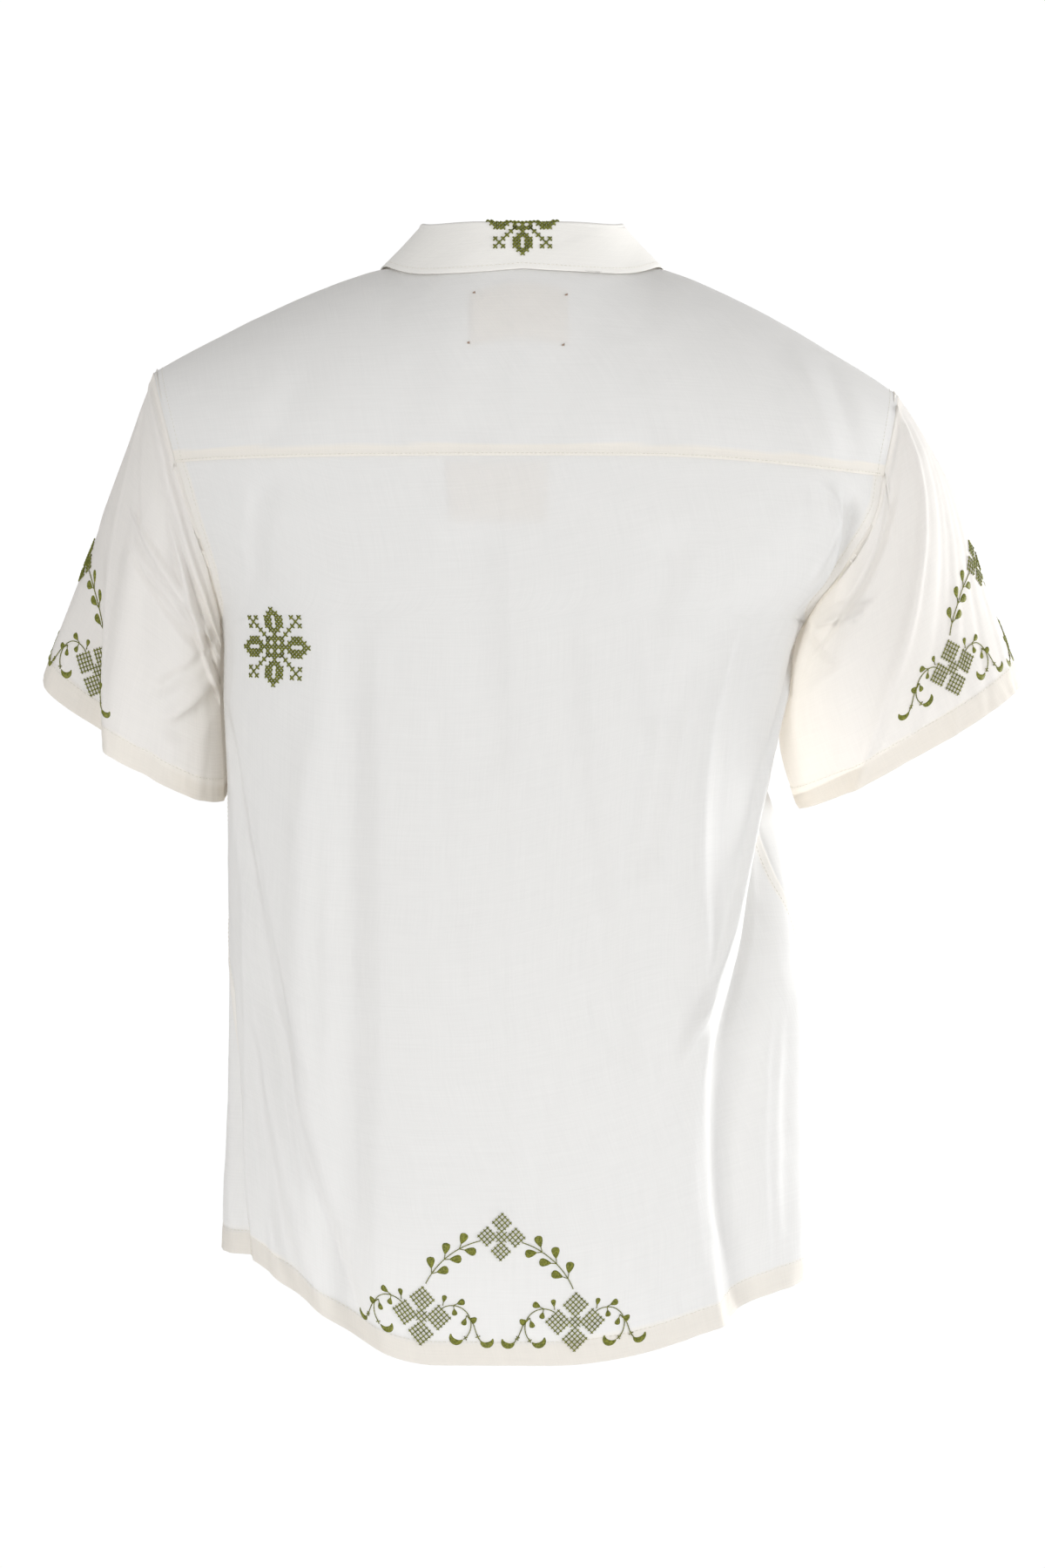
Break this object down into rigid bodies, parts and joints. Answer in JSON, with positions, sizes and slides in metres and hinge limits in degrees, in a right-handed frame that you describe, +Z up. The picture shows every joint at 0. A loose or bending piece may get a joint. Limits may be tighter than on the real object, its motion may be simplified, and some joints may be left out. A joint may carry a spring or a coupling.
{
  "type": "cotton shirt",
  "caption": "Short-sleeved ecru cotton shirt with a camp collar, back yoke and shirt-tail hem, hollow as when worn, with green embroidery.",
  "frame": {"origin": "between the two neck points, level with them, where the wearer's shoulders carry the shirt", "axes": "+Z up, +X to the wearer's left, -Y to the wearer's front"},
  "size_m": [0.6611, 0.2698, 0.751],
  "materials": {
    "cotton": "matt plain weave, thin and slightly translucent, olive-green embroidery",
    "button": "satin",
    "label_tape": "matt woven tape, blank"
  },
  "bodies": {
    "root": {"back": "cotton", "yoke": "cotton", "front_left": "cotton", "front_right": "cotton", "sleeve_left": "cotton", "sleeve_right": "cotton", "collar": "cotton", "facing_left": "cotton", "facing_right": "cotton", "label_neck": "label_tape", "label_care": "label_tape", "button_1": "button", "button_2": "button", "button_3": "button", "button_4": "button", "button_5": "button"}
  },
  "joints": []
}
